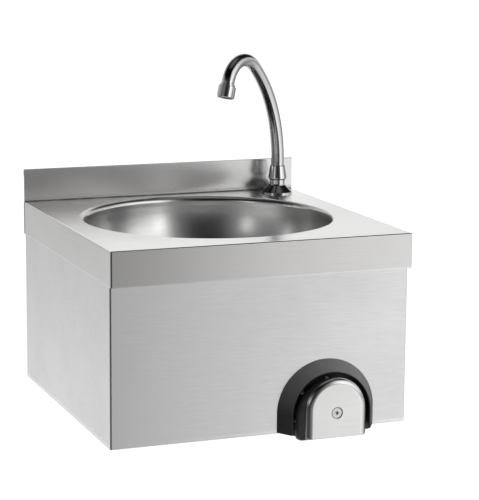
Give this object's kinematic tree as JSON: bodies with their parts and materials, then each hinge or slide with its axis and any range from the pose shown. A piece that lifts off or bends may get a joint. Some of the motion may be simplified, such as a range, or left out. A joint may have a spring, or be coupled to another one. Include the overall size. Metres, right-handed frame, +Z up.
{
  "type": "hand wash sink",
  "caption": "Wall-hung stainless steel hand wash sink with a round bowl, upstand, swivelling swan-neck spout and a knee push valve.",
  "frame": {"origin": "centre of the four wall screw holes, on the wall plane; the deck's top face is 0.140 m above it", "axes": "+X to the user's right, +Y into the wall, +Z up"},
  "size_m": [0.4, 0.427, 0.4591],
  "materials": {
    "deck_steel": "fine satin grain",
    "bowl_steel": "satin polished",
    "casing_steel": "fine satin grain",
    "bracket_steel": "mill finish",
    "chrome": "polished",
    "pad_steel": "satin",
    "black_plastic": "fine texture, slight sheen",
    "fastener_steel": "bright",
    "brass": "machined",
    "rubber": "matte",
    "white_plastic": "moulded",
    "grey_plastic": "moulded",
    "knob_plastic": "moulded, satin"
  },
  "bodies": {
    "basin": {"deck_top": "deck_steel", "bowl": "bowl_steel", "strainer_plate": "bowl_steel", "cabinet_shell": "casing_steel", "rear_rail": "bracket_steel", "faucet_backing_plate": "bracket_steel", "clamp_washer": "bracket_steel", "faucet_body": "chrome", "swivel_nut": "chrome", "feed_pipe": "chrome", "feed_pipe_nuts": "chrome", "knee_collar": "black_plastic", "strainer_screw": "fastener_steel", "collar_rivets": "fastener_steel", "shank_nut": "fastener_steel", "valve_washer": "fastener_steel", "valve_nut": "fastener_steel", "return_spring": "fastener_steel", "valve_body": "brass", "valve_cap": "brass", "valve_seat": "brass", "feed_pipe_olives": "brass", "mixer_body": "brass", "mixer_bonnet": "brass", "union_nut": "brass", "flange_seal": "rubber", "deck_washer": "rubber", "waste_gasket": "rubber", "strainer_seal": "rubber", "valve_gasket": "rubber", "rod_seal": "rubber", "union_washer": "rubber", "swivel_washer": "white_plastic", "check_valves": "white_plastic", "waste_body": "grey_plastic"},
    "spout": {"spout_tube": "chrome", "spout_spigot": "brass", "spout_orings": "rubber", "aerator_housing": "chrome", "aerator_insert": "white_plastic", "aerator_washer": "rubber"},
    "knee_pad": {"pad_plate": "pad_steel", "pad_body": "black_plastic", "pad_screw": "fastener_steel", "push_rod": "fastener_steel", "poppet_seal": "rubber", "valve_poppet": "brass"},
    "temperature_knob": {"mixer_spindle": "brass", "mixer_knob": "knob_plastic", "knob_screw": "fastener_steel"}
  },
  "joints": [
    {"name": "spout_swivel", "type": "hinge", "parent": "basin", "child": "spout", "pos_m": [0.164, -0.036, 0.158], "axis": [0, 0, 1], "range_deg": [-35, 145]},
    {"name": "knee_push", "type": "slide", "parent": "basin", "child": "knee_pad", "axis": [0, 1, 0], "range_m": [0, 0.012], "stiffness_N_per_m": 900, "springref_m": -0.012, "deforming": ["return_spring"]},
    {"name": "temperature_set", "type": "hinge", "parent": "basin", "child": "temperature_knob", "pos_m": [0.026, -0.335, -0.09], "axis": [0, 0, 1], "range_deg": [-60, 60]}
  ]
}
